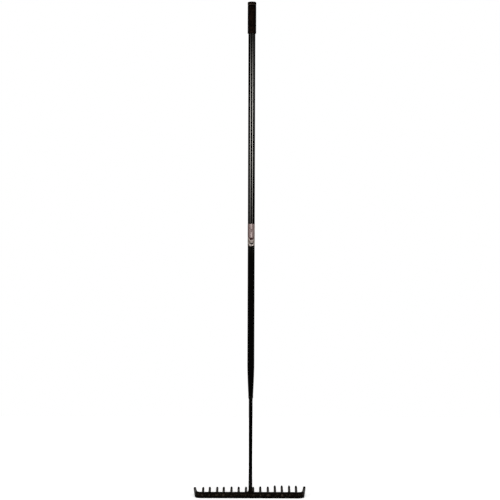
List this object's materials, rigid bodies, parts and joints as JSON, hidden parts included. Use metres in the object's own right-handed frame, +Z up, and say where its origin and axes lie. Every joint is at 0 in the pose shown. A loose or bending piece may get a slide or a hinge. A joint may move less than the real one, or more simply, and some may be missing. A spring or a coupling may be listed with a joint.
{
  "type": "asphalt rake",
  "caption": "Long-handled all-steel asphalt rake with teeth riveted through a flat bar, a welded neck, a tubular handle and a moulded grip, for spreading hot asphalt.",
  "frame": {"origin": "on the straight lower edge of the rake's bar, on the handle's axis", "axes": "+Z up along the handle from the head to the grip, +Y the way the teeth point, +X to the right along the bar when seen from behind the teeth"},
  "size_m": [0.4188, 0.0959, 1.83],
  "materials": {
    "head_black_paint": "satin black paint over forged steel, worn at the tips of the teeth",
    "tube_gloss_black": "gloss black stoving enamel",
    "grip_black_vinyl": "matt moulded vinyl with a fine moulded texture",
    "label_silver_foil": "printed silver-grey film, bare of any words"
  },
  "bodies": {
    "root": {"rake_beam": "head_black_paint", "tooth_01": "head_black_paint", "tooth_02": "head_black_paint", "tooth_03": "head_black_paint", "tooth_04": "head_black_paint", "tooth_05": "head_black_paint", "tooth_06": "head_black_paint", "tooth_07": "head_black_paint", "tooth_08": "head_black_paint", "tooth_09": "head_black_paint", "tooth_10": "head_black_paint", "tooth_11": "head_black_paint", "tooth_12": "head_black_paint", "tooth_13": "head_black_paint", "tooth_14": "head_black_paint", "head_weld": "head_black_paint", "neck_rod": "tube_gloss_black", "mouth_weld": "tube_gloss_black", "handle_tube": "tube_gloss_black", "grip_sleeve": "grip_black_vinyl", "grip_end_cap": "grip_black_vinyl", "label_foil": "label_silver_foil"}
  },
  "joints": []
}
